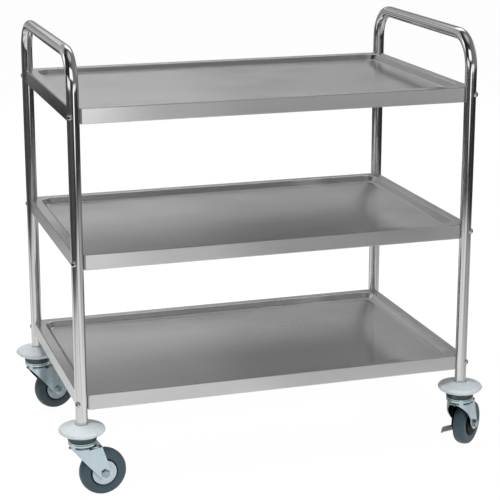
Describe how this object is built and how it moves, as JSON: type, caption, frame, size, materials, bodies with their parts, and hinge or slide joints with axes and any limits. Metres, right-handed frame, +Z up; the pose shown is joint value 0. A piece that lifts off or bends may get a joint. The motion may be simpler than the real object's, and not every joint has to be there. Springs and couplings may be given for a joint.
{
  "type": "serving trolley",
  "caption": "Stainless serving trolley: shallow pressed trays bolted between two bent-tube end frames with push handles, on swivel castors with round bumpers and foot brakes.",
  "frame": {"origin": "On the floor, midway between the four swivel axes.", "axes": "+X along the long side towards the braked end, +Y from front to back, +Z up."},
  "size_m": [0.9782, 0.6164, 0.93],
  "materials": {
    "polished_tube": "mirror-polished stainless tube",
    "tray_steel": "satin stainless sheet",
    "stainless_fastener": "bright stainless",
    "bumper": "moulded pale grey",
    "expander_rubber": "moulded black",
    "zinc_plate": "bright zinc plate, slightly blue",
    "dark_race": "dark coated pressing",
    "bearing_steel": "ground balls",
    "hub_plastic": "moulded black",
    "guard_plastic": "moulded pale blue-grey",
    "grey_tyre": "non-marking grey rubber"
  },
  "bodies": {
    "frame": {"left_end_frame": "polished_tube", "right_end_frame": "polished_tube", "bottom_tray": "tray_steel", "middle_tray": "tray_steel", "top_tray": "tray_steel", "corner_bolts": "stainless_fastener", "saddle_washers": "stainless_fastener", "flange_nuts": "stainless_fastener", "front_left_bumper": "bumper", "front_left_post_plug": "expander_rubber", "front_left_king_bolt": "zinc_plate", "front_left_swivel_cap": "dark_race", "front_right_bumper": "bumper", "front_right_post_plug": "expander_rubber", "front_right_king_bolt": "zinc_plate", "front_right_swivel_cap": "dark_race", "back_left_bumper": "bumper", "back_left_post_plug": "expander_rubber", "back_left_king_bolt": "zinc_plate", "back_left_swivel_cap": "dark_race", "back_right_bumper": "bumper", "back_right_post_plug": "expander_rubber", "back_right_king_bolt": "zinc_plate", "back_right_swivel_cap": "dark_race"},
    "front_left_castor": {"front_left_fork": "zinc_plate", "front_left_axle_bolt": "zinc_plate", "front_left_axle_bush": "zinc_plate", "front_left_bearing_balls": "bearing_steel"},
    "front_left_wheel": {"front_left_wheel_hub": "hub_plastic", "front_left_thread_guards": "guard_plastic", "front_left_tyre": "grey_tyre"},
    "front_right_castor": {"front_right_fork": "zinc_plate", "front_right_axle_bolt": "zinc_plate", "front_right_axle_bush": "zinc_plate", "front_right_bearing_balls": "bearing_steel", "front_right_brake_pin": "zinc_plate"},
    "front_right_wheel": {"front_right_wheel_hub": "hub_plastic", "front_right_thread_guards": "hub_plastic", "front_right_tyre": "grey_tyre"},
    "front_right_brake": {"front_right_brake_lever": "dark_race"},
    "back_left_castor": {"back_left_fork": "zinc_plate", "back_left_axle_bolt": "zinc_plate", "back_left_axle_bush": "zinc_plate", "back_left_bearing_balls": "bearing_steel"},
    "back_left_wheel": {"back_left_wheel_hub": "hub_plastic", "back_left_thread_guards": "guard_plastic", "back_left_tyre": "grey_tyre"},
    "back_right_castor": {"back_right_fork": "zinc_plate", "back_right_axle_bolt": "zinc_plate", "back_right_axle_bush": "zinc_plate", "back_right_bearing_balls": "bearing_steel", "back_right_brake_pin": "zinc_plate"},
    "back_right_wheel": {"back_right_wheel_hub": "hub_plastic", "back_right_thread_guards": "hub_plastic", "back_right_tyre": "grey_tyre"},
    "back_right_brake": {"back_right_brake_lever": "dark_race"}
  },
  "joints": [
    {"name": "front_left_swivel", "type": "hinge", "parent": "frame", "child": "front_left_castor", "pos_m": [-0.4225, -0.2575, 0.1245], "axis": [0, 0, 1], "continuous": true},
    {"name": "front_left_roll", "type": "hinge", "parent": "front_left_castor", "child": "front_left_wheel", "pos_m": [-0.38073, -0.25311, 0.05], "axis": [-0.1045, 0.9945, 0], "continuous": true},
    {"name": "front_right_swivel", "type": "hinge", "parent": "frame", "child": "front_right_castor", "pos_m": [0.4225, -0.2575, 0.1245], "axis": [0, 0, 1], "continuous": true},
    {"name": "front_right_roll", "type": "hinge", "parent": "front_right_castor", "child": "front_right_wheel", "pos_m": [0.4542, -0.22995, 0.05], "axis": [-0.6561, 0.7547, 0], "continuous": true},
    {"name": "front_right_brake_press", "type": "hinge", "parent": "front_right_castor", "child": "front_right_brake", "pos_m": [0.43884, -0.22143, 0.086], "axis": [0.6561, -0.7547, 0], "range_deg": [0, 8]},
    {"name": "back_left_swivel", "type": "hinge", "parent": "frame", "child": "back_left_castor", "pos_m": [-0.4225, 0.2575, 0.1245], "axis": [0, 0, 1], "continuous": true},
    {"name": "back_left_roll", "type": "hinge", "parent": "back_left_castor", "child": "back_left_wheel", "pos_m": [-0.38213, 0.26908, 0.05], "axis": [-0.2756, 0.9613, 0], "continuous": true},
    {"name": "back_right_swivel", "type": "hinge", "parent": "frame", "child": "back_right_castor", "pos_m": [0.4225, 0.2575, 0.1245], "axis": [0, 0, 1], "continuous": true},
    {"name": "back_right_roll", "type": "hinge", "parent": "back_right_castor", "child": "back_right_wheel", "pos_m": [0.45958, 0.27722, 0.05], "axis": [-0.4695, 0.8829, 0], "continuous": true},
    {"name": "back_right_brake_press", "type": "hinge", "parent": "back_right_castor", "child": "back_right_brake", "pos_m": [0.44654, 0.28897, 0.086], "axis": [0.4695, -0.8829, 0], "range_deg": [0, 8]}
  ]
}
